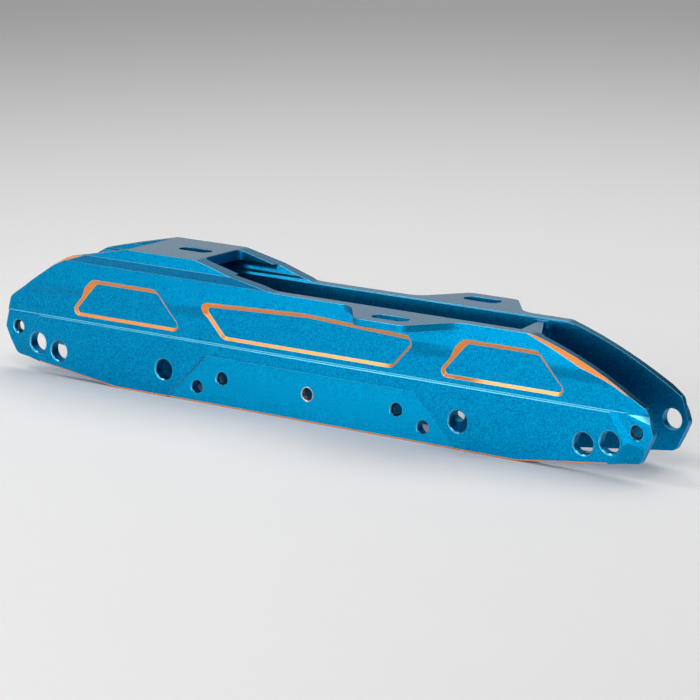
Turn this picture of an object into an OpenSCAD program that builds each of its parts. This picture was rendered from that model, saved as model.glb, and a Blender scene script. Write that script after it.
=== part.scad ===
// Inline skate frame for a three-point boot: one machined aluminium body and
// the steel thread inserts that its axles screw into.
// X points to the toe, Y to the left, Z up. The origin lies midway along the
// frame, between the side walls, on the plane of their lower edges.

/* [Axle holes] */
// Spacing of the four main axles
axle_pitch = 104; // [98:0.5:118]
// Height of the main axles above the lower edges
axle_z = 13.5; // [12:0.1:15]
// Distance of the end axles beyond the outer axles
end_axle_gap = 13.4; // [12:0.1:16]
// Height of the end axles
end_axle_z = 22.6; // [21:0.1:24]
// Distance of the outer axles beyond the main axles
outer_axle_gap = 13.9; // [12.5:0.1:16]
// Height of the outer axles
outer_axle_z = 16.1; // [15:0.1:17]
// Distance of the inner axles beyond the middle main axles
inner_axle_gap = 35.7; // [34:0.1:40]
// Distance of the low cross holes beyond the middle main axles
low_hole_gap = 15.5; // [13:0.1:18]
// Height of the low cross holes
low_hole_z = 7.4; // [6:0.1:8]
// Diameter of the plain axle bores
plain_bore_d = 10; // [8:0.1:10.4]
// Diameter of the insert bores and of the low cross holes
insert_bore_d = 6.3; // [5.8:0.1:7]
// Chamfer at the mouth of every hole
mouth_chamfer = 0.6; // [0.2:0.1:0.8]

/* [Thread inserts] */
// Core diameter of the thread in an insert
insert_core_d = 5; // [4:0.1:5.4]
// Length of a plain insert
insert_length = 3; // [2:0.1:3.2]
// Diameter of the rim on the centre insert
insert_rim_d = 7.3; // [7.1:0.1:9]
// Thickness of the rim on the centre insert
insert_rim_t = 0.6; // [0.4:0.1:1.2]
// Radial clearance of an insert in its bore
insert_clearance = 0.02; // [0:0.01:0.05]

/* [Wall section] */
// Clear width between the side walls, for the wheels
wheel_gap = 25.4; // [24:0.1:26]
// Width across the lower bands of the walls
band_w = 36; // [35:0.1:37]
// How far each shoulder stands out past the lower band
shoulder_out = 1.4; // [0.7:0.1:2]
// Width across the walls at the front deck
deck_w = 37.2; // [36:0.1:39]
// Width across the heel rails at their widest
rail_w = 43.6; // [41:0.1:45]
// Width of the heel platform's flat top
platform_w = 40.8; // [38:0.1:43]
// Height of the crease above the lower band
crease_z = 30.6; // [29:0.1:32]
// Depth of the crease's two grooves
crease_depth = 0.2; // [0.1:0.05:0.4]
// Height of the grooves' sides that face up
crease_lit_h = 0.5; // [0.3:0.05:0.8]
// Height of the lower groove's side that faces down
crease_shade_h = 0.35; // [0.2:0.05:0.6]
// Height where the shoulder slope starts
shoulder_low_z = 43; // [41:0.1:45]
// Height where the shoulder slope ends
shoulder_high_z = 48.8; // [47:0.1:50]
// Radius of the hollow curve under the shoulder
shoulder_cove_r = 12; // [6:0.5:16]
// How far the flare steps out at its foot
flare_step = 0.7; // [0.3:0.1:1]
// Height where the heel rail starts to flare
flare_low_z = 61; // [60.5:0.1:62]
// Height where the heel rail is widest
flare_high_z = 66; // [64:0.1:68]
// Height of the chamfer along the lower outer edges
edge_chamfer_h = 0.6; // [0.4:0.1:1.2]
// Depth of that chamfer into the wall
edge_chamfer_depth = 0.3; // [0.2:0.05:0.8]

/* [Side outline] */
// Distance of the tips beyond the end axles
end_margin = 8.7; // [7.5:0.1:12]
// Height of the pointed tips of both ends
tip_z = 22; // [20:0.1:24]
// Distance of the lower end corners behind the tips
lower_corner_inset = 6.6; // [4:0.1:8]
// Half length of the level lower edge
lower_flat_x = 119.5; // [110:0.5:125]
// Angle of the rising lower edge at both ends
lower_rise_angle = 7.1; // [6:0.1:8]
// Distance of the rear upper corner from the rear tip
rear_corner_inset = 4.4; // [3:0.1:6]
// Height of the rear upper corner
rear_corner_z = 38.2; // [36:0.1:40]
// Distance of the bend in the rear top edge from the middle
rear_bend_x = 150.5; // [146:0.5:154]
// Height of the bend in the rear top edge
rear_bend_z = 62.4; // [60:0.1:64]
// Height of the front deck
deck_z = 60.5; // [60:0.1:61]
// Height of the heel platform
platform_z = 71.4; // [70.5:0.1:74]
// Distance of the platform's rear edge from the middle
platform_rear_x = 109; // [104:0.5:114]
// Distance of the platform's front bend from the middle
platform_front_x = 65; // [62:0.5:68]
// Distance of the heel slope's foot behind the middle
slope_foot_x = 19.2; // [10:0.2:24]
// Start of the front slope
front_bend_x = 127.5; // [124:0.5:130]
// Distance of the front upper corner from the front tip
front_corner_inset = 3.7; // [2:0.1:5]
// Height of the front upper corner
front_corner_z = 33.4; // [32:0.1:36]
// Rise of the bowed front slope above its chord
front_bow = 2.5; // [0.4:0.1:3]

/* [Deck and platform] */
// Thickness of the heel platform
platform_t = 5.1; // [4:0.1:5.2]
// Thickness of the wings
wing_t = 3.5; // [3:0.1:5]
// Distance of the wing edges from the middle plane
wing_reach = 39.5; // [37:0.5:42]
// Length of a wing at its outer edge
wing_outer_l = 27; // [25:0.5:33]
// Length of a wing where it leaves the wall
wing_base_l = 60; // [54:0.5:68]
// Place of the right wing along the frame
right_wing_x = 57.5; // [52:0.1:64]
// Place of the left wing along the frame
left_wing_x = 69.2; // [62:0.1:76]
// Distance of the wing slots from the middle plane
wing_slot_y = 29.1; // [28:0.1:32]
// Width of the wing slots
wing_slot_w = 8; // [6:0.1:9]
// Length of the wing slots
wing_slot_l = 20; // [14:0.5:24]
// Distance of the heel slot behind the middle
heel_slot_x = 81.2; // [78:0.1:95]
// Width of the heel slot
heel_slot_w = 7; // [6:0.1:9]
// Length of the heel slot
heel_slot_l = 19; // [14:0.5:24]
// Clear width between the heel rails and between the deck rails
rail_gap = 27.4; // [26.4:0.1:29]
// Clear width of the tunnel under the platform
tunnel_w = 32.4; // [30:0.1:34]

/* [Cross web] */
// Height of the web's underside
web_low_z = 56; // [54:0.1:57]
// Height of the web's top
web_high_z = 59.2; // [58.5:0.1:59.6]
// Rear end of the web, clear of the rear wheel
web_rear_x = 127; // [124:0.5:132]
// Rear end of the trough between the deck rails
trough_rear_x = 80; // [76:0.5:86]
// Chamfer along the deck's inner edges
lip_chamfer = 0.4; // [0.2:0.1:0.8]
// Front end of the trough at the middle plane
trough_front_x = 114.4; // [110:0.1:116]
// Skew of the trough's front end
trough_front_skew = 8.8; // [0:0.2:14]
// Front edge of the bridge at the middle plane
bridge_front_x = 122; // [121:0.1:128]
// Skew of the bridge's front edge
bridge_front_skew = 30.4; // [10:0.1:31]

/* [Pockets and panels] */
// Depth of the pockets below the lower band's face
pocket_depth = 1.3; // [0.8:0.1:2]
// Height of the pockets' lower edges
pocket_low_z = 33.6; // [33:0.1:36]
// Height of the pockets' upper edges
pocket_high_z = 52.2; // [51:0.1:54]
// Slope of the pockets' flanks
pocket_flank = 47; // [44:0.5:60]
// Inner end of the end pockets
end_pocket_inner_x = 74.5; // [72:0.1:80]
// Outer end of the end pockets
end_pocket_outer_x = 148.9; // [142:0.1:152]
// Half length of the middle pocket's lower edge
mid_pocket_low_x = 50.3; // [44:0.1:52]
// Height of the middle pocket's upper corners
mid_pocket_end_z = 49.4; // [48:0.1:50.6]
// Depth of the centre panels
relief_depth = 1; // [0.6:0.1:1.4]
// Tilt of the centre panels, deeper towards their tops
relief_tilt = 1.5; // [0.2:0.1:2]
// Height of the centre panels
relief_z = 24; // [22:0.1:26]
// Distance of the centre panels' lower ends inside the inner axles
relief_inset = 1.7; // [0.5:0.1:4]
// Slope of the centre panels' ends
relief_flank = 45; // [42:0.5:60]
// Distance of the end facets' upper start behind the tips
facet_top_inset = 23.5; // [22:0.1:26]
// Distance of the end facets' inner point behind the tips
facet_point_inset = 14.4; // [13.6:0.1:15.4]
// Height of the inner point of the end facets
facet_point_z = 16.4; // [15:0.1:18]
// Distance of the end facets' lower start behind the tips
facet_low_inset = 23; // [20:0.1:26]
// Tilt of the front facets where they start
front_facet_start_angle = 7; // [5:0.5:12]
// Width of that first part of the front facets
front_facet_start_w = 4; // [2:0.1:6]
// Tilt of the rest of the front facets
front_facet_angle = 2; // [1:0.1:4]
// Depth of the step at the start of the rear facets
rear_facet_step = 0.45; // [0.2:0.05:0.6]
// Slope of that step
rear_facet_step_angle = 75; // [40:1:80]
// Tilt of the rear facets
rear_facet_angle = 0.8; // [0.7:0.1:2]
// Slope of the lower facets where they start
low_facet_start_angle = 16; // [10:0.5:24]
// Tilt of the lower facets
low_facet_angle = 8; // [5:0.1:10]
// Length of the front end that turns in above the crease
end_turn_l = 17.5; // [15:0.5:20]
// Radius of that turn
end_turn_r = 64; // [55:1:90]
// Length of the ledge under the turned-in front end
ledge_l = 19; // [16:0.5:22]
// How far the ledge's line falls along that length
ledge_drop = 6.7; // [5:0.1:8]
// Tilt of the ledge
ledge_angle = 20.8; // [16:0.1:26]
// Width left between the long chamfers on the front's sloping edges
front_chamfer_w = 34.4; // [33:0.1:35]
// Bow of those chamfers' upper edges
front_chamfer_bow = 1.7; // [0.6:0.1:2]
// Slope of those chamfers across the wall
front_chamfer_angle = 45; // [35:0.5:50]
// Width left between the chamfers on the rear's sloping edges
rear_chamfer_w = 31; // [30:0.1:33]
// Slope of those chamfers across the wall
rear_chamfer_angle = 25; // [20:0.5:35]

/* [Hidden] */
right = -1;
left = 1;
ends = [-1, 1];
sides = [right, left];
outer_axle_x = 1.5 * axle_pitch + outer_axle_gap;
end_axle_x = outer_axle_x + end_axle_gap;
inner_axle_x = 0.5 * axle_pitch + inner_axle_gap;
low_hole_x = 0.5 * axle_pitch + low_hole_gap;
end_x = end_axle_x + end_margin;
lower_corner_x = end_x - lower_corner_inset;
rear_corner_x = end_x - rear_corner_inset;
front_corner_x = end_x - front_corner_inset;
facet_top_x = end_x - facet_top_inset;
facet_point_x = end_x - facet_point_inset;
facet_low_x = end_x - facet_low_inset;
relief_low_x = inner_axle_x - relief_inset;

// Extra length of a cut that runs out of the body
past = 20;
// Overlap that keeps a cut's skin off a face
skin = 0.05;
corner_steps = 6;
cove_steps = 4;
hole_fn = 48;

gap_half = wheel_gap / 2;
band_half = band_w / 2;
rail_gap_half = rail_gap / 2;
tunnel_half = tunnel_w / 2;
platform_under_z = platform_z - platform_t;
cut_l = 2 * (end_x + past);
cut_w = 2 * (wing_reach + past);
insert_r = insert_bore_d / 2 - insert_clearance;

// Axles of one end, from the tip inwards: distance, height, side of the insert
end_axles = [
    [end_axle_x, end_axle_z, right],
    [outer_axle_x, outer_axle_z, left],
    [1.5 * axle_pitch, axle_z, left],
    [inner_axle_x, axle_z, left],
    [0.5 * axle_pitch, axle_z, right]
];
centre_axle = [0, axle_z, right];

REAR_INSERTS = [
    "thread_insert_rear_1", "thread_insert_rear_2", "thread_insert_rear_3",
    "thread_insert_rear_4", "thread_insert_rear_5"
];
FRONT_INSERTS = [
    "thread_insert_front_1", "thread_insert_front_2", "thread_insert_front_3",
    "thread_insert_front_4", "thread_insert_front_5"
];

// Rounding of outlines

function corner(before, here, after, r) =
    let (
        u = (before - here) / norm(before - here),
        v = (after - here) / norm(after - here),
        half = acos(u * v) / 2,
        reach = r / tan(half),
        centre = here + (u + v) / norm(u + v) * r / sin(half),
        first = here + u * reach - centre,
        last = here + v * reach - centre,
        start = atan2(first.y, first.x),
        raw = atan2(last.y, last.x) - start,
        turn = raw > 180 ? raw - 360 : raw < -180 ? raw + 360 : raw
    )
    r <= 0 ? [here] : [for (i = [0:corner_steps])
        centre + r * [cos(start + turn * i / corner_steps), sin(start + turn * i / corner_steps)]];

function rounded(points, radii) =
    let (n = len(points))
    [for (i = [0:n - 1]) each corner(points[(i + n - 1) % n], points[i], points[(i + 1) % n], radii[i])];

// Moves every edge of a convex outline that runs counter-clockwise outwards
function grown(points, by) =
    let (n = len(points))
    [for (i = [0:n - 1])
        let (
            here = points[i],
            back = (here - points[(i + n - 1) % n]) / norm(here - points[(i + n - 1) % n]),
            on = (points[(i + 1) % n] - here) / norm(points[(i + 1) % n] - here),
            back_out = [back.y, -back.x],
            on_out = [on.y, -on.x]
        )
        here + (back_out + on_out) * by / (1 + back_out * on_out)];

function bowed(from, to, rise, steps) =
    let (on = (to - from) / norm(to - from), out = [-on.y, on.x])
    [for (i = [1:steps - 1])
        let (t = i / steps)
        from + (to - from) * t + out * 4 * rise * t * (1 - t)];

// Outlines

function lower_edge_z(x) = max(0, (abs(x) - lower_flat_x) * tan(lower_rise_angle));

front_bend = [front_bend_x, deck_z];
front_corner = [front_corner_x, front_corner_z];
rear_bend = [-rear_bend_x, rear_bend_z];
rear_corner = [-rear_corner_x, rear_corner_z];

front_slope = bowed(front_corner, front_bend, -front_bow, 8);
front_turn = atan2(front_corner.y - front_bend.y, front_corner.x - front_bend.x);
front_out = (front_bow - front_chamfer_bow) * [-sin(front_turn), cos(front_turn)];
front_chamfer = concat(
    [front_corner + front_out],
    bowed(front_corner + front_out, front_bend + front_out, -front_chamfer_bow, 8),
    [front_bend + front_out]
);
rear_turn = (
    atan2(rear_bend.y - rear_corner.y, rear_bend.x - rear_corner.x)
    + atan2(platform_z - rear_bend.y, -platform_rear_x - rear_bend.x)
) / 2;

outline_points = concat(
    [
        [-lower_flat_x, 0],
        [lower_flat_x, 0],
        [lower_corner_x, lower_edge_z(lower_corner_x)],
        [end_x, tip_z],
        front_corner
    ],
    front_slope,
    [
        front_bend,
        [-slope_foot_x, deck_z],
        [-platform_front_x, platform_z],
        [-platform_rear_x, platform_z],
        rear_bend,
        rear_corner,
        [-end_x, tip_z],
        [-lower_corner_x, lower_edge_z(lower_corner_x)]
    ]
);
outline_radii = concat(
    [20, 20, 4, 3, 4],
    [for (p = front_slope) 0],
    [8, 16, 10, 3, 14, 6, 3, 4]
);

// The shoulder runs out of the wall in a hollow curve
shoulder_angle = atan2(shoulder_out, shoulder_high_z - shoulder_low_z);
shoulder_start_z = shoulder_low_z - shoulder_cove_r * tan(shoulder_angle / 2);
shoulder_cove = [for (i = [0:cove_steps])
    let (turn = shoulder_angle * i / cove_steps)
    [
        band_half + shoulder_cove_r * (1 - cos(turn)),
        shoulder_start_z + shoulder_cove_r * sin(turn)
    ]];

half_section = concat([[band_half, 0]], shoulder_cove, [
    [band_half + shoulder_out, shoulder_high_z],
    [deck_w / 2, flare_low_z],
    [deck_w / 2 + flare_step, flare_low_z + flare_step / 2],
    [rail_w / 2, flare_high_z],
    [platform_w / 2, platform_z]
]);

// The tunnel's floor, the ledges beside it and the space under the platform
half_tunnel = [
    [gap_half, web_high_z],
    [gap_half, deck_z - lip_chamfer],
    [rail_gap_half, deck_z - lip_chamfer + rail_gap_half - gap_half],
    [rail_gap_half, flare_low_z + 1.6],
    [tunnel_half, flare_high_z - 0.4],
    [tunnel_half, platform_under_z]
];

function both_halves(half) =
    concat(half, [for (i = [len(half) - 1:-1:0]) [-half[i].x, half[i].y]]);

end_pocket = [
    [end_pocket_inner_x, pocket_low_z],
    [end_pocket_outer_x, pocket_low_z],
    [end_pocket_outer_x - (pocket_high_z - pocket_low_z) / tan(pocket_flank), pocket_high_z],
    [end_pocket_inner_x + (pocket_high_z - pocket_low_z) / tan(pocket_flank), pocket_high_z]
];
end_pocket_radii = [3, 3, 5, 5];

mid_pocket_high_x = mid_pocket_low_x + (mid_pocket_end_z - pocket_low_z) / tan(pocket_flank);
mid_pocket = [
    [-mid_pocket_low_x, pocket_low_z],
    [mid_pocket_low_x, pocket_low_z],
    [mid_pocket_high_x, mid_pocket_end_z],
    [0, pocket_high_z],
    [-mid_pocket_high_x, mid_pocket_end_z]
];
mid_pocket_radii = [5, 5, 3, 60, 3];

function relief_half(z) = relief_low_x - z / tan(relief_flank);

function in_relief(x, z) = z < relief_z && abs(x) < relief_half(z);

function relief_depth_at(z) = relief_depth + (z - axle_z) * tan(relief_tilt);

// Depth of an end facet below the band's face
facet_top = [facet_top_x, crease_z];
facet_point = [facet_point_x, facet_point_z];
facet_low = [facet_low_x, lower_edge_z(facet_low_x)];

// Planes of a facet: how far behind its start each leaves the band, and its tilt
front_facet_step = front_facet_start_w * tan(front_facet_start_angle);
front_facet_planes = [
    [0, front_facet_start_angle],
    [front_facet_step / tan(front_facet_angle) - front_facet_start_w, front_facet_angle]
];
rear_facet_planes = [
    [0, rear_facet_step_angle],
    [rear_facet_step / tan(rear_facet_angle), rear_facet_angle]
];

function facet_planes(x) = x > 0 ? front_facet_planes : rear_facet_planes;

// Height at which the plane of a lower facet would leave the band
function low_facet_z(x) =
    facet_point_z + (x > 0 ? front_facet_step : rear_facet_step) / tan(low_facet_angle);

function facet_depth(x, z) =
    let (
        on = (facet_point - facet_top) / norm(facet_point - facet_top),
        beyond = [-on.y, on.x] * ([abs(x), z] - facet_top)
    )
    beyond <= 0 ? 0 : min([for (p = facet_planes(x)) (beyond + p[0]) * tan(p[1])]);

// Inner face of a wall, which lies further out beside the front wheel
function inner_half(x) = x > bridge_front_x ? rail_gap_half : gap_half;

function wall_face(x, z) =
    band_half - (in_relief(x, z) ? relief_depth_at(z) : facet_depth(x, z));

// Shared shapes

module along_x(points) {
    translate([-cut_l / 2, 0, 0])
        rotate([90, 0, 90])
            linear_extrude(cut_l)
                polygon(points);
}

module across_y(points, from, to) {
    translate([0, to, 0])
        rotate([90, 0, 0])
            linear_extrude(to - from)
                polygon(points);
}

module on_side(side) {
    if (side == right)
        mirror([0, 1, 0]) children();
    else
        children();
}

module on_end(end) {
    if (end < 0)
        mirror([1, 0, 0]) children();
    else
        children();
}

module cross_cylinder(x, z, r, from, to) {
    translate([x, to, z])
        rotate([90, 0, 0])
            cylinder(h = to - from, r = r, $fn = hole_fn);
}

module hole_mouth(x, z, r, face) {
    translate([x, face + skin, z])
        rotate([90, 0, 0])
            cylinder(
                h = mouth_chamfer + skin, r1 = r + mouth_chamfer + skin, r2 = r, $fn = hole_fn
            );
}

module wall_hole(x, z, d, side) {
    on_side(side) {
        cross_cylinder(x, z, d / 2, gap_half - past / 4, band_half + past);
        hole_mouth(x, z, d / 2, wall_face(x, z));
    }
}

module slot(l, w, from, to) {
    ends_apart = l - w;
    for (end = ends)
        translate([end * ends_apart / 2, 0, from])
            cylinder(h = to - from, r = w / 2, $fn = hole_fn);
    translate([-ends_apart / 2, -w / 2, from])
        cube([ends_apart, w, to - from]);
}

// Body

module wing(x, side) {
    reach_in = gap_half + 4;
    root = deck_w / 2;
    run = wing_base_l / 2 + 16;
    points = [
        [-run, reach_in], [run, reach_in], [run, root], [wing_base_l / 2, root],
        [wing_outer_l / 2, wing_reach], [-wing_outer_l / 2, wing_reach],
        [-wing_base_l / 2, root], [-run, root]
    ];
    on_side(side)
        translate([x, 0, deck_z - wing_t])
            linear_extrude(wing_t)
                polygon(rounded(points, [0, 0, 0, 12, 6, 6, 12, 0]));
}

module blank() {
    intersection() {
        along_x(both_halves(half_section));
        across_y(rounded(outline_points, outline_radii), -cut_w / 2, cut_w / 2);
    }
    wing(right_wing_x, right);
    wing(left_wing_x, left);
}

module web_opening(points, radii, below = skin) {
    translate([0, 0, web_low_z - below])
        linear_extrude(web_high_z - web_low_z + below + skin)
            polygon(rounded(points, radii));
}

module inner_cuts() {
    run = end_x + past;
    trough_turn = gap_half * tan(trough_front_skew);
    bridge_turn = rail_gap_half * tan(bridge_front_skew);
    // Wheel channel below the web
    translate([-run, -gap_half, -past])
        cube([2 * run, wheel_gap, web_low_z + past]);
    // Tunnel above the web
    along_x(both_halves(half_tunnel));
    // Rear wheel opening, trough and front wheel opening in the web
    web_opening(
        [[-run, -gap_half], [-web_rear_x, -gap_half], [-web_rear_x, gap_half], [-run, gap_half]],
        [0, 4, 4, 0]
    );
    web_opening(
        [
            [-trough_rear_x, -gap_half], [trough_front_x + trough_turn, -gap_half],
            [trough_front_x - trough_turn, gap_half], [-trough_rear_x, gap_half]
        ],
        [4, 4, 4, 4]
    );
    web_opening(
        [
            [bridge_front_x + bridge_turn, -rail_gap_half], [run, -rail_gap_half],
            [run, rail_gap_half], [bridge_front_x - bridge_turn, rail_gap_half]
        ],
        [4, 0, 0, 3],
        web_low_z + past
    );
    // Open top in front of the platform and behind it
    translate([0, 0, flare_high_z - 0.4])
        linear_extrude(past)
            polygon(rounded(
                [
                    [-platform_front_x, -rail_gap_half], [run, -rail_gap_half],
                    [run, rail_gap_half], [-platform_front_x, rail_gap_half]
                ],
                [3, 0, 0, 3]
            ));
    translate([-run, -tunnel_half, flare_high_z - 0.4])
        cube([run - platform_rear_x, tunnel_w, past]);
}

module pocket(points, radii) {
    outside = rail_w / 2 - band_half + 1;
    levels = [
        [band_half - pocket_depth, -pocket_depth],
        [band_half + outside, outside]
    ];
    rings = [for (level = levels)
        [for (p = rounded(grown(points, level[1]), [for (r = radii) r + level[1]]))
            [p.x, level[0], p.y]]];
    n = len(rings[0]);
    polyhedron(
        points = concat(rings[0], rings[1]),
        faces = concat(
            [[for (i = [n - 1:-1:0]) i], [for (i = [0:n - 1]) n + i]],
            [for (i = [0:n - 1]) [i, (i + 1) % n, n + (i + 1) % n, n + i]]
        )
    );
}

module centre_panel() {
    low = -past - axle_z;
    high = relief_z - axle_z;
    low_half = relief_half(-past);
    high_half = relief_half(relief_z);
    translate([0, band_half - relief_depth, axle_z])
        rotate([relief_tilt, 0, 0])
            across_y(
                rounded(
                    [[-low_half, low], [low_half, low], [high_half, high], [-high_half, high]],
                    [0, 0, 5, 5]
                ),
                0, past
            );
}

// A groove with a flat upper side, and a second one under it with two sloping sides
module crease() {
    ridge_z = crease_z + crease_shade_h / 2;
    lit_run = crease_lit_h * skin / crease_depth;
    shade_run = crease_shade_h * skin / crease_depth;
    inner = band_half - crease_depth;
    outer = band_half + skin;
    along_x([
        [inner, ridge_z + crease_lit_h], [outer, ridge_z + crease_lit_h],
        [outer, ridge_z - lit_run]
    ]);
    along_x([
        [inner, ridge_z - crease_shade_h], [outer, ridge_z + shade_run],
        [outer, ridge_z - crease_shade_h - crease_lit_h - lit_run]
    ]);
}

// Half-space outside a plane that leaves the band's face along a line, or
// along a line that lies behind it
module tilted_cut(from, to, tilt, behind = 0) {
    run = norm(to - from);
    translate([from.x, band_half, from.y])
        rotate([0, -atan2(to.y - from.y, to.x - from.x), 0])
            translate([-3 * past, 0, -behind])
                rotate([tilt, 0, 0])
                    cube([run + 6 * past, past, 3 * past]);
}

module facet(from, to, planes) {
    intersection() {
        tilted_cut(from, to, planes[0][1], planes[0][0]);
        tilted_cut(from, to, planes[1][1], planes[1][0]);
    }
}

module below_crease() {
    translate([0, 0, crease_z - 3 * past])
        cube([cut_l, band_half + past, 3 * past]);
}

module end_facets(end) {
    low_z = low_facet_z(end);
    intersection() {
        facet(facet_top, facet_point, facet_planes(end));
        below_crease();
    }
    intersection() {
        tilted_cut(facet_point, facet_low, low_facet_start_angle);
        tilted_cut([end_x, low_z], [facet_low_x, low_z], low_facet_angle);
    }
}

// Front end of a wall, turned in above the crease, and the ledge under it
module end_turn() {
    start_x = end_x - end_turn_l;
    difference() {
        translate([start_x, band_half - past / 2, crease_z])
            cube([end_turn_l + past, past, past]);
        translate([start_x, band_half - end_turn_r, crease_z - past])
            cylinder(h = 3 * past, r = end_turn_r, $fn = 8 * hole_fn);
    }
    intersection() {
        tilted_cut([end_x - ledge_l, crease_z], [end_x, crease_z - ledge_drop], ledge_angle);
        below_crease();
    }
}

// Chamfer that follows a line on the lower edge
module edge_cut(from, to, y) {
    beyond = 0.2;
    in = -edge_chamfer_depth * (1 + beyond);
    out = edge_chamfer_depth * beyond;
    low = -edge_chamfer_h * beyond;
    high = edge_chamfer_h * (1 + beyond);
    translate([from.x, y, from.y])
        rotate([0, -atan2(to.y - from.y, to.x - from.x), 0])
            rotate([90, 0, 90])
                linear_extrude(norm(to - from))
                    polygon([[in, low], [out, low], [out, high]]);
}

module lower_chamfers() {
    edge_cut([-lower_flat_x, 0], [lower_flat_x, 0], band_half);
    edge_cut([-relief_half(0), 0], [relief_half(0), 0], band_half - relief_depth_at(0));
    for (end = ends)
        on_end(end) edge_cut([lower_flat_x, 0], facet_low, band_half);
}

// Long flat chamfer on the outer side of a bowed or bent top edge
module slope_chamfer(top, turn, half, angle) {
    run = front_corner_x - front_bend_x;
    translate([top.x, half, top.y])
        rotate([0, -turn, 0])
            rotate([-angle, 0, 0])
                translate([-run / 2, -past, 0])
                    cube([run, 2 * past, past]);
}

module outer_cuts() {
    for (side = sides)
        on_side(side) {
            pocket(mid_pocket, mid_pocket_radii);
            for (end = ends)
                on_end(end) {
                    pocket(end_pocket, end_pocket_radii);
                    end_facets(end);
                }
            end_turn();
            centre_panel();
            crease();
            lower_chamfers();
            for (i = [1:len(front_chamfer) - 1])
                let (on = front_chamfer[i - 1] - front_chamfer[i])
                    slope_chamfer(
                        front_chamfer[i], atan2(on.y, on.x), front_chamfer_w / 2, front_chamfer_angle
                    );
            slope_chamfer(rear_bend, rear_turn, rear_chamfer_w / 2, rear_chamfer_angle);
        }
}

module axle_holes() {
    for (axle = end_axles)
        for (end = ends) {
            wall_hole(end * axle.x, axle.y, insert_bore_d, axle.z);
            wall_hole(end * axle.x, axle.y, plain_bore_d, -axle.z);
        }
    wall_hole(centre_axle.x, centre_axle.y, insert_bore_d, centre_axle.z);
    wall_hole(centre_axle.x, centre_axle.y, plain_bore_d, -centre_axle.z);
    // Seat of the centre insert's rim
    face = wall_face(centre_axle.x, centre_axle.y);
    on_side(centre_axle.z)
        cross_cylinder(
            centre_axle.x, centre_axle.y, insert_rim_d / 2 + insert_clearance,
            face - insert_rim_t, face + past
        );
    for (end = ends)
        for (side = sides)
            wall_hole(end * low_hole_x, low_hole_z, insert_bore_d, side);
}

module boot_slots() {
    translate([-heel_slot_x, 0, 0])
        slot(heel_slot_l, heel_slot_w, web_high_z + 1, platform_z + past);
    translate([right_wing_x, right * wing_slot_y, 0])
        slot(wing_slot_l, wing_slot_w, deck_z - past / 2, deck_z + past);
    translate([left_wing_x, left * wing_slot_y, 0])
        slot(wing_slot_l, wing_slot_w, deck_z - past / 2, deck_z + past);
}

module frame_body() {
    color("#0f87bd")
        difference() {
            blank();
            inner_cuts();
            outer_cuts();
            axle_holes();
            boot_slots();
        }
}

// Thread inserts

module plain_insert(x, axle) {
    inner = inner_half(x);
    color("silver")
        on_side(axle.z)
            difference() {
                cross_cylinder(x, axle.y, insert_r, inner, inner + insert_length);
                cross_cylinder(x, axle.y, insert_core_d / 2, gap_half - past / 4, band_half);
            }
}

module rimmed_insert(axle) {
    face = wall_face(axle.x, axle.y);
    color("silver")
        on_side(axle.z)
            difference() {
                union() {
                    cross_cylinder(axle.x, axle.y, insert_r, gap_half, face);
                    cross_cylinder(axle.x, axle.y, insert_rim_d / 2, face - insert_rim_t, face);
                }
                cross_cylinder(axle.x, axle.y, insert_core_d / 2, gap_half - past / 4, face + past);
                hole_mouth(axle.x, axle.y, insert_core_d / 2, face);
            }
}

frame_body();
for (i = [0:len(end_axles) - 1]) {
    plain_insert(-end_axles[i].x, end_axles[i]);
    plain_insert(end_axles[i].x, end_axles[i]);
}
rimmed_insert(centre_axle);  // thread_insert_centre
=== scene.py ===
"""Looks of a bare inline skate frame: a blue bead-blasted aluminium body with
copper-coloured cut edges, and steel wire inserts in its axle holes."""

import math

import bmesh
import bpy
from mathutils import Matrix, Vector


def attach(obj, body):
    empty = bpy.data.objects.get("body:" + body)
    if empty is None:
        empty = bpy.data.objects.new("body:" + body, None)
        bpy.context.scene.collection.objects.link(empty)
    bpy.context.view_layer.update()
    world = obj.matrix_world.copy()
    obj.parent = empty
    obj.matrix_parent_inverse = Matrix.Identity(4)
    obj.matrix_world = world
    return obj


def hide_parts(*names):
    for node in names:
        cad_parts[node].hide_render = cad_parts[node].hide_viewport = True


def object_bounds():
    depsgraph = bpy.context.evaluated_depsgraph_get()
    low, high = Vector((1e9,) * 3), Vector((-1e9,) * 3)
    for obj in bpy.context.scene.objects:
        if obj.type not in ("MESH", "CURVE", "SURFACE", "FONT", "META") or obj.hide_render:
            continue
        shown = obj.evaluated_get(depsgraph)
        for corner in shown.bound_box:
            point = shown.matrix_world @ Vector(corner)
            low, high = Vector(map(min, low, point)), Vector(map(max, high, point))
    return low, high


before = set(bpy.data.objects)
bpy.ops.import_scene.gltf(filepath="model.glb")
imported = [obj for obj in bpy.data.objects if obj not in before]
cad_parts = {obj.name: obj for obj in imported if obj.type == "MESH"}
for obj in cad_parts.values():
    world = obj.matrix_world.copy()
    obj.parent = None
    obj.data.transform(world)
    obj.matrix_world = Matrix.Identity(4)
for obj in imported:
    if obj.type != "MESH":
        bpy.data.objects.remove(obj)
cad_low, cad_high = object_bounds()
mm = 0.001


# Camera
# A long lens looks down the right wall from in front of the toe, a little
# above the deck. The place, aim and lens were fitted to the axle holes.

camera_place = Vector((915.1, -1225.2, 385.8)) * mm
camera_aim = Vector((12.9, 0.0, 33.8)) * mm
camera_lens = 168.4
camera_sensor = 36.0

camera_data = bpy.data.cameras.new("camera")
camera_data.lens = camera_lens
camera_data.sensor_width = camera_sensor
camera = bpy.data.objects.new("camera", camera_data)
camera.location = camera_place
camera.rotation_mode = "QUATERNION"
camera.rotation_quaternion = (camera_aim - camera_place).to_track_quat("-Z", "Y")
bpy.context.scene.collection.objects.link(camera)
bpy.context.scene.camera = camera


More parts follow.
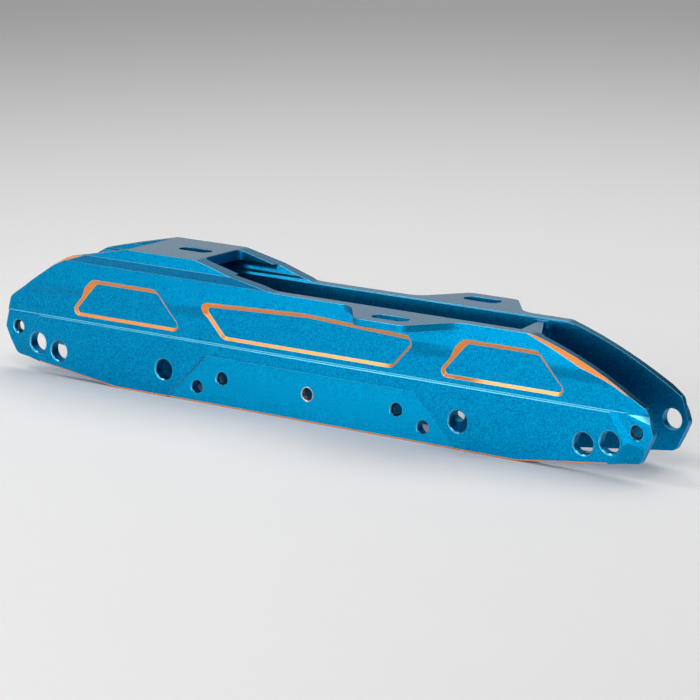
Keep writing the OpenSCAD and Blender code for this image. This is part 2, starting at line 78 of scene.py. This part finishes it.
# Frame body
# One piece of aluminium extrusion, milled to its outline and pockets, blasted
# with beads and anodised blue. The upper faces are milled smooth and coloured a
# darker blue as painted shade, and the pocket flanks and long edges are cut again
# afterwards and coloured copper. A paler blue on the broken edges, the crease and
# the hole mouths is painted highlight, and a lighter blue on the recessed middle
# panels is painted light.

merge_gap = 0.002 * mm
flat_angle = math.radians(0.4)
edge_radius = 0.15 * mm
edge_segments = 2
sharp_angle = math.radians(24)
round_angle = math.radians(20)
hollow_angle = math.radians(4)
round_area = 1.6 * mm * mm
upright_lean = 0.5

blue = (0.0, 0.25, 0.50, 1.0)
# Lighter blue painted as light on the recessed middle panels
painted_light_panel_blue = (0.0, 0.29, 0.55, 1.0)
# Darker blue painted as shade on the upper faces
painted_shade_top_blue = (0.0, 0.17, 0.33, 1.0)
# Paler blue painted as highlight on the broken edges, the crease and the hole mouths
painted_highlight_blue = (0.10, 0.46, 0.66, 1.0)
copper = (0.95, 0.31, 0.06, 1.0)

pattern_middle = 0.5
grain_size = 1700.0
grain_detail = 1.0
grain_falloff = 0.7
grain_shares = (1.0, 1.0, 0.55)
grain_matt = 0.16
grain_relief = 0.25
grain_depth = 0.02 * mm
patch_size = 60.0
patch_detail = 2.0
patch_dark = 0.94
patch_light = 1.06
line_waver = 1.5
line_detail = 2.0
line_relief = 0.15
line_depth = 0.01 * mm


def link(tree, source, output, target, socket):
    tree.links.new(source.outputs[output], target.inputs[socket])


def new_group(name, inputs, outputs):
    group = bpy.data.node_groups.new(name, "ShaderNodeTree")
    for title, kind, value in inputs:
        socket = group.interface.new_socket(name=title, in_out="INPUT", socket_type=kind)
        socket.default_value = value
    for title, kind in outputs:
        group.interface.new_socket(name=title, in_out="OUTPUT", socket_type=kind)
    entry = group.nodes.new("NodeGroupInput")
    leave = group.nodes.new("NodeGroupOutput")
    return group, entry, leave


def make_blasted_grain():
    """Fine dimples left by the bead blast, with a broad faint unevenness."""
    group, entry, leave = new_group(
        "blasted_grain",
        [
            ("Color", "NodeSocketColor", blue),
            ("Contrast", "NodeSocketFloat", 0.2),
            ("Grain Size", "NodeSocketFloat", grain_size),
            ("Roughness", "NodeSocketFloat", 0.4),
        ],
        [
            ("Color", "NodeSocketColor"),
            ("Roughness", "NodeSocketFloat"),
            ("Height", "NodeSocketFloat"),
        ],
    )
    place = group.nodes.new("ShaderNodeTexCoord")
    fine = group.nodes.new("ShaderNodeTexNoise")
    fine.inputs["Detail"].default_value = grain_detail
    fine.inputs["Roughness"].default_value = grain_falloff
    broad = group.nodes.new("ShaderNodeTexNoise")
    broad.inputs["Scale"].default_value = patch_size
    broad.inputs["Detail"].default_value = patch_detail
    link(group, place, "Object", fine, "Vector")
    link(group, place, "Object", broad, "Vector")
    link(group, entry, "Grain Size", fine, "Scale")

    centred = group.nodes.new("ShaderNodeMath")
    centred.operation = "SUBTRACT"
    centred.inputs[1].default_value = pattern_middle
    link(group, fine, "Fac", centred, 0)
    spread = group.nodes.new("ShaderNodeMath")
    spread.operation = "MULTIPLY"
    link(group, centred, "Value", spread, 0)
    link(group, entry, "Contrast", spread, 1)
    uneven = group.nodes.new("ShaderNodeMapRange")
    uneven.inputs["To Min"].default_value = patch_dark
    uneven.inputs["To Max"].default_value = patch_light
    link(group, broad, "Fac", uneven, "Value")
    shares = group.nodes.new("ShaderNodeVectorMath")
    shares.operation = "SCALE"
    shares.inputs[0].default_value = grain_shares
    link(group, spread, "Value", shares, "Scale")
    level = group.nodes.new("ShaderNodeVectorMath")
    level.operation = "ADD"
    link(group, shares, "Vector", level, 0)
    link(group, uneven, "Result", level, 1)

    tint = group.nodes.new("ShaderNodeVectorMath")
    tint.operation = "MULTIPLY"
    link(group, entry, "Color", tint, 0)
    link(group, level, "Vector", tint, 1)
    link(group, tint, "Vector", leave, "Color")

    matt = group.nodes.new("ShaderNodeMath")
    matt.operation = "MULTIPLY_ADD"
    matt.inputs[1].default_value = grain_matt
    link(group, centred, "Value", matt, 0)
    link(group, entry, "Roughness", matt, 2)
    link(group, matt, "Value", leave, "Roughness")
    link(group, fine, "Fac", leave, "Height")
    return group


def make_cutter_lines():
    """Fine parallel lines that a milling cutter or a lathe tool leaves."""
    group, entry, leave = new_group(
        "cutter_lines",
        [
            ("Color", "NodeSocketColor", copper),
            ("Line Count", "NodeSocketFloat", 900.0),
            ("Contrast", "NodeSocketFloat", 0.1),
        ],
        [
            ("Color", "NodeSocketColor"),
            ("Height", "NodeSocketFloat"),
        ],
    )
    place = group.nodes.new("ShaderNodeTexCoord")
    lines = group.nodes.new("ShaderNodeTexWave")
    lines.wave_type = "BANDS"
    lines.bands_direction = "DIAGONAL"
    lines.inputs["Distortion"].default_value = line_waver
    lines.inputs["Detail"].default_value = line_detail
    link(group, place, "Object", lines, "Vector")
    link(group, entry, "Line Count", lines, "Scale")
    centred = group.nodes.new("ShaderNodeMath")
    centred.operation = "SUBTRACT"
    centred.inputs[1].default_value = pattern_middle
    link(group, lines, "Fac", centred, 0)
    level = group.nodes.new("ShaderNodeMath")
    level.operation = "MULTIPLY_ADD"
    level.inputs[2].default_value = 1.0
    link(group, centred, "Value", level, 0)
    link(group, entry, "Contrast", level, 1)
    tint = group.nodes.new("ShaderNodeVectorMath")
    tint.operation = "SCALE"
    link(group, entry, "Color", tint, 0)
    link(group, level, "Value", tint, "Scale")
    link(group, tint, "Vector", leave, "Color")
    link(group, lines, "Fac", leave, "Height")
    return group


blasted_grain = make_blasted_grain()
cutter_lines = make_cutter_lines()


def surface(name, metallic, roughness):
    material = bpy.data.materials.new(name)
    material.use_nodes = True
    shader = material.node_tree.nodes["Principled BSDF"]
    shader.inputs["Metallic"].default_value = metallic
    shader.inputs["Roughness"].default_value = roughness
    return material, material.node_tree, shader


def dimpled(tree, shader, source, strength, depth):
    bump = tree.nodes.new("ShaderNodeBump")
    bump.inputs["Strength"].default_value = strength
    bump.inputs["Distance"].default_value = depth
    link(tree, source, "Height", bump, "Height")
    link(tree, bump, "Normal", shader, "Normal")


def blasted_finish(name, colour, roughness, contrast):
    material, tree, shader = surface(name, 1.0, roughness)
    grain = tree.nodes.new("ShaderNodeGroup")
    grain.node_tree = blasted_grain
    grain.inputs["Color"].default_value = colour
    grain.inputs["Contrast"].default_value = contrast
    grain.inputs["Roughness"].default_value = roughness
    link(tree, grain, "Color", shader, "Base Color")
    link(tree, grain, "Roughness", shader, "Roughness")
    dimpled(tree, shader, grain, grain_relief, grain_depth)
    return material


def cut_finish(name, colour, metallic, roughness, line_count, contrast):
    material, tree, shader = surface(name, metallic, roughness)
    lines = tree.nodes.new("ShaderNodeGroup")
    lines.node_tree = cutter_lines
    lines.inputs["Color"].default_value = colour
    lines.inputs["Line Count"].default_value = line_count
    lines.inputs["Contrast"].default_value = contrast
    link(tree, lines, "Color", shader, "Base Color")
    dimpled(tree, shader, lines, line_relief, line_depth)
    return material


body_finishes = [
    blasted_finish("blue_anodised", blue, roughness=0.42, contrast=2.1),
    cut_finish("cut_copper", copper, metallic=0.3, roughness=0.3, line_count=500.0, contrast=0.12),
    # Painted highlight: a paler, smoother blue for the broken edges, the crease and the hole mouths
    blasted_finish("painted_highlight_edges", painted_highlight_blue, roughness=0.30, contrast=0.2),
    # Painted light: the recessed middle panels in a lighter blue
    blasted_finish("panel_anodised_painted_light", painted_light_panel_blue, roughness=0.42, contrast=1.3),
    # Painted shade: the upper faces in a darker blue, smooth with cutter lines
    cut_finish("milled_top_painted_shade", painted_shade_top_blue, metallic=1.0, roughness=0.22, line_count=900.0, contrast=0.1),
]
blasted_slot, copper_slot, painted_highlight_slot, painted_light_panel_slot, shaded_top_slot = range(len(body_finishes))

# Where each finish starts and ends, and how far its faces lean or rise
top_rise = 0.85
top_lean = 0.3
top_low_z = 33 * mm
flank_lean = (0.5, 0.82)
flank_z = (32 * mm, 56 * mm)
flank_out = 16 * mm
slope_x = 125 * mm
front_slope_lean = (0.6, 0.8)
front_slope_rise = 0.5
front_slope_low_z = 32 * mm
rear_slope_lean = (0.36, 0.5)
rear_slope_rise = 0.6
rear_slope_out = 14 * mm
wall_lean = 0.8
lower_edge_rise = (-0.6, -0.3)
lower_edge_z = 9 * mm
crease_rise = 0.25
crease_z = 30.6 * mm
crease_reach = 1.2 * mm
mouth_lean = (0.6, 0.8)
mouth_high_z = 29 * mm
mouth_out = 15.5 * mm
panel_lean = 0.9
panel_high_z = 24 * mm
panel_half = 76 * mm
panel_out = (16 * mm, 17.7 * mm)


def within(value, limits):
    return limits[0] < value < limits[1]


def is_cut(lean, rise, place, out):
    """Whether a face is a pocket's flank or a cut along a slope or a lower edge."""
    if within(lean, flank_lean) and within(place.z, flank_z) and out > flank_out:
        return True
    if within(lean, front_slope_lean) and rise > front_slope_rise:
        if place.x > slope_x and place.z > front_slope_low_z:
            return True
    if within(lean, rear_slope_lean) and rise > rear_slope_rise:
        if place.x < -slope_x and out > rear_slope_out:
            return True
    return lean > wall_lean and within(rise, lower_edge_rise) and place.z < lower_edge_z


def finish_of(face):
    """The number of the finish on a face, from the way it points and its place."""
    rise = face.normal.z
    lean = abs(face.normal.y)
    place = face.calc_center_median()
    out = abs(place.y)
    # The upper faces take the darker blue, a painted shade
    if rise > top_rise and place.z > top_low_z and lean < top_lean:
        return shaded_top_slot
    if is_cut(lean, rise, place, out):
        return copper_slot
    # The crease faces take the paler blue, a painted highlight
    if lean > wall_lean and rise > crease_rise and abs(place.z - crease_z) < crease_reach:
        return painted_highlight_slot
    # The chamfers round the hole mouths take the paler blue, a painted highlight
    if within(lean, mouth_lean) and place.z < mouth_high_z and out > mouth_out:
        return painted_highlight_slot
    # The recessed middle panels take the lighter blue, painted light
    if lean > panel_lean and place.z < panel_high_z:
        if abs(place.x) < panel_half and within(out, panel_out):
            return painted_light_panel_slot
    return blasted_slot


def is_sharp(edge):
    """Whether the edge is broken. The fine grooves of the crease stay as they are."""
    if not edge.is_manifold or edge.calc_face_angle(0.0) < sharp_angle:
        return False
    return not all(abs(vert.co.z - crease_z) < crease_reach for vert in edge.verts)


body_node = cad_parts["frame_body"]
shape = bmesh.new()
shape.from_mesh(body_node.data)
bmesh.ops.remove_doubles(shape, verts=shape.verts, dist=merge_gap)
bmesh.ops.dissolve_limit(shape, angle_limit=flat_angle, verts=shape.verts, edges=shape.edges)
shape.normal_update()
for face in shape.faces:
    face.material_index = finish_of(face)

sharp = [edge for edge in shape.edges if is_sharp(edge)]
broken = bmesh.ops.bevel(
    shape, geom=sharp, offset=edge_radius, offset_type="OFFSET", segments=edge_segments,
    profile=0.5, affect="EDGES", clamp_overlap=False, material=-1
)
# Corners where short edges meet stay inside the body's own height
for vert in shape.verts:
    vert.co.z = min(max(vert.co.z, cad_low.z), cad_high.z)
edge_strips = set(broken["faces"])
# The broken edges take the paler blue, a painted highlight along each edge; those on copper faces
# stay copper
for face in edge_strips:
    if face.material_index != copper_slot:
        face.material_index = painted_highlight_slot


def is_round(edge):
    """Whether the edge lies inside a bore, a hollow, a round end or a broken edge."""
    if any(face in edge_strips for face in edge.link_faces):
        return True
    turn = edge.calc_face_angle(1.0)
    if turn > round_angle:
        return False
    if turn < hollow_angle:
        return True
    upright = all(abs(face.normal.y) < upright_lean for face in edge.link_faces)
    small = all(face.calc_area() < round_area for face in edge.link_faces)
    return upright or small


for face in shape.faces:
    face.smooth = True
for edge in shape.edges:
    edge.smooth = is_round(edge)
body_mesh = bpy.data.meshes.new("skate_frame")
shape.to_mesh(body_mesh)
shape.free()
for finish in body_finishes:
    body_mesh.materials.append(finish)
skate_frame = bpy.data.objects.new("skate_frame", body_mesh)
bpy.context.scene.collection.objects.link(skate_frame)
even = skate_frame.modifiers.new("even_normals", "WEIGHTED_NORMAL")
even.keep_sharp = True
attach(skate_frame, "root")
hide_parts("frame_body")


# Thread inserts
# Coils of diamond-section steel wire, wound into the tapped holes of one wall
# so that the axle screws don't wear the aluminium. The centre one has a rim.
# The coils are coloured near-black as painted shade for the depth of the holes.

thread_pitch = 1.0 * mm
wire_reach = 0.46 * mm
wire_inner = 2.5 * mm
wire_outer = 3.13 * mm
coil_steps = 32
rim_inner = 3.1 * mm
rim_outer = 3.65 * mm
rim_depth = 0.6 * mm
rim_round = 0.12 * mm
rim_throat = 0.24 * mm
rim_steps = 48
rim_slot = 1

# Near-black steel painted as shade on the coils deep in the holes; the rim is plain bright steel
steel = (0.14, 0.15, 0.16, 1.0)
rim_steel = (0.72, 0.76, 0.79, 1.0)
insert_steel = cut_finish(
    "insert_steel", steel, metallic=1.0, roughness=0.3, line_count=2500.0, contrast=0.15
)
bright_steel = cut_finish(
    "bright_steel", rim_steel, metallic=1.0, roughness=0.35, line_count=2500.0, contrast=0.1
)


def wind_coil(shape, middle, first, last):
    """A diamond of wire, spun about the hole's axis from one end to the other."""
    start = first + wire_reach
    turns = (last - first - 2 * wire_reach) / thread_pitch
    steps = round(coil_steps * turns)
    wire_middle = (wire_inner + wire_outer) / 2
    section = [
        shape.verts.new((middle.x + wire_middle, start - wire_reach, middle.z)),
        shape.verts.new((middle.x + wire_outer, start, middle.z)),
        shape.verts.new((middle.x + wire_middle, start + wire_reach, middle.z)),
        shape.verts.new((middle.x + wire_inner, start, middle.z)),
    ]
    end = shape.faces.new(section)
    bmesh.ops.spin(
        shape, geom=[end] + list(end.edges) + section, cent=middle, axis=(0.0, 1.0, 0.0),
        dvec=(0.0, turns * thread_pitch / steps, 0.0), angle=turns * math.tau, steps=steps,
        use_duplicate=False
    )


def turn_rim(shape, middle, mouth_y):
    """The flat ring round the centre insert's mouth, with its edges broken."""
    side = 1.0 if mouth_y > 0.0 else -1.0
    section = [
        shape.verts.new((middle.x + rim_inner, mouth_y - side * rim_depth, middle.z)),
        shape.verts.new((middle.x + rim_outer, mouth_y - side * rim_depth, middle.z)),
        shape.verts.new((middle.x + rim_outer, mouth_y - side * rim_round, middle.z)),
        shape.verts.new((middle.x + rim_outer - rim_round, mouth_y, middle.z)),
        shape.verts.new((middle.x + rim_inner + rim_throat, mouth_y, middle.z)),
        shape.verts.new((middle.x + rim_inner, mouth_y - side * rim_throat, middle.z)),
    ]
    rows = [shape.edges.new((section[k], section[k - 1])) for k in range(len(section))]
    coil = set(shape.faces)
    bmesh.ops.spin(
        shape, geom=rows + section, cent=middle, axis=(0.0, 1.0, 0.0), angle=math.tau,
        steps=rim_steps, use_merge=True, use_duplicate=False
    )
    for ring_face in shape.faces:
        if ring_face not in coil:
            ring_face.material_index = rim_slot


for name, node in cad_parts.items():
    if not name.startswith("thread_insert"):
        continue
    low = Vector([min(v.co[k] for v in node.data.vertices) for k in range(3)])
    high = Vector([max(v.co[k] for v in node.data.vertices) for k in range(3)])
    middle = Vector(((low.x + high.x) / 2, 0.0, (low.z + high.z) / 2))
    insert_shape = bmesh.new()
    wind_coil(insert_shape, middle, low.y, high.y)
    if name == "thread_insert_centre":
        turn_rim(insert_shape, middle, high.y if high.y > 0.0 else low.y)
    bmesh.ops.recalc_face_normals(insert_shape, faces=insert_shape.faces)
    insert_mesh = bpy.data.meshes.new(name + "_coil")
    insert_shape.to_mesh(insert_mesh)
    insert_shape.free()
    insert_mesh.materials.append(insert_steel)
    if name == "thread_insert_centre":
        insert_mesh.materials.append(bright_steel)
    insert = bpy.data.objects.new(name + "_coil", insert_mesh)
    bpy.context.scene.collection.objects.link(insert)
    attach(insert, "root")
    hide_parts(name)


# Floor and light
# A pale floor just under the lower edges. Two long soft lights stand in front of
# the near wall, one narrow and two small ones hang high in front for the cut
# edges, a wide one hangs overhead, and a far one shows in the upper faces.

floor_span = 8.0
floor_gap = 0.2 * mm
floor_colour = (0.86, 0.86, 0.86, 1.0)
floor_roughness = 0.9
room_colour = (1.0, 1.0, 1.0, 1.0)
room_strength = 0.05

floor_mesh = bpy.data.meshes.new("floor")
floor_shape = bmesh.new()
bmesh.ops.create_grid(floor_shape, x_segments=1, y_segments=1, size=floor_span / 2)
floor_shape.to_mesh(floor_mesh)
floor_shape.free()
floor = bpy.data.objects.new("floor", floor_mesh)
floor.location.z = cad_low.z - floor_gap
bpy.context.scene.collection.objects.link(floor)

pale, pale_tree, pale_shader = surface("pale_floor", 0.0, floor_roughness)
pale_shader.inputs["Base Color"].default_value = floor_colour
pale_shader.inputs["Specular IOR Level"].default_value = 0.0
floor_mesh.materials.append(pale)


def soft_light(name, place, aim, size, brightness):
    """A flat lamp, sized in metres, whose face is white at a brightness of 1."""
    lamp = bpy.data.lights.new(name, "AREA")
    lamp.shape = "RECTANGLE"
    lamp.size = size[0]
    lamp.size_y = size[1]
    lamp.energy = brightness * math.pi * size[0] * size[1]
    holder = bpy.data.objects.new(name, lamp)
    holder.location = Vector(place)
    holder.rotation_mode = "QUATERNION"
    holder.rotation_quaternion = (Vector(aim) - Vector(place)).to_track_quat("-Z", "Y")
    bpy.context.scene.collection.objects.link(holder)


soft_light(
    "low_front", place=(-0.05, -1.1, 0.14), aim=(0.0, 0.0, 0.10), size=(1.4, 0.24), brightness=5.5
)
soft_light(
    "mid_front", place=(-0.22, -1.1, 0.48), aim=(-0.1, 0.0, 0.04), size=(2.1, 0.24), brightness=2.5
)
soft_light(
    "upper_front", place=(0.15, -0.60, 1.10), aim=(0.0, 0.0, 0.04), size=(1.6, 0.14), brightness=2.6
)
soft_light(
    "right_high", place=(0.58, -0.87, 1.10), aim=(0.0, 0.0, 0.04), size=(0.32, 0.2), brightness=7.5
)
soft_light(
    "overhead", place=(0.20, 0.45, 1.10), aim=(0.20, 0.30, 0.0), size=(1.8, 1.0), brightness=1.8
)
soft_light(
    "left_high", place=(-0.60, -0.33, 1.05), aim=(-0.60, 0.0, 0.0), size=(0.40, 0.24), brightness=10.5
)
soft_light(
    "far_back", place=(-1.6, 2.3, 0.95), aim=(-0.9, 1.2, 0.0), size=(3.2, 1.7), brightness=0.62
)

world = bpy.data.worlds.new("studio")
world.use_nodes = True
bpy.context.scene.world = world
sky_light = world.node_tree.nodes["Background"]
sky_light.inputs["Color"].default_value = room_colour
sky_light.inputs["Strength"].default_value = room_strength

bpy.context.scene.view_settings.view_transform = "Standard"
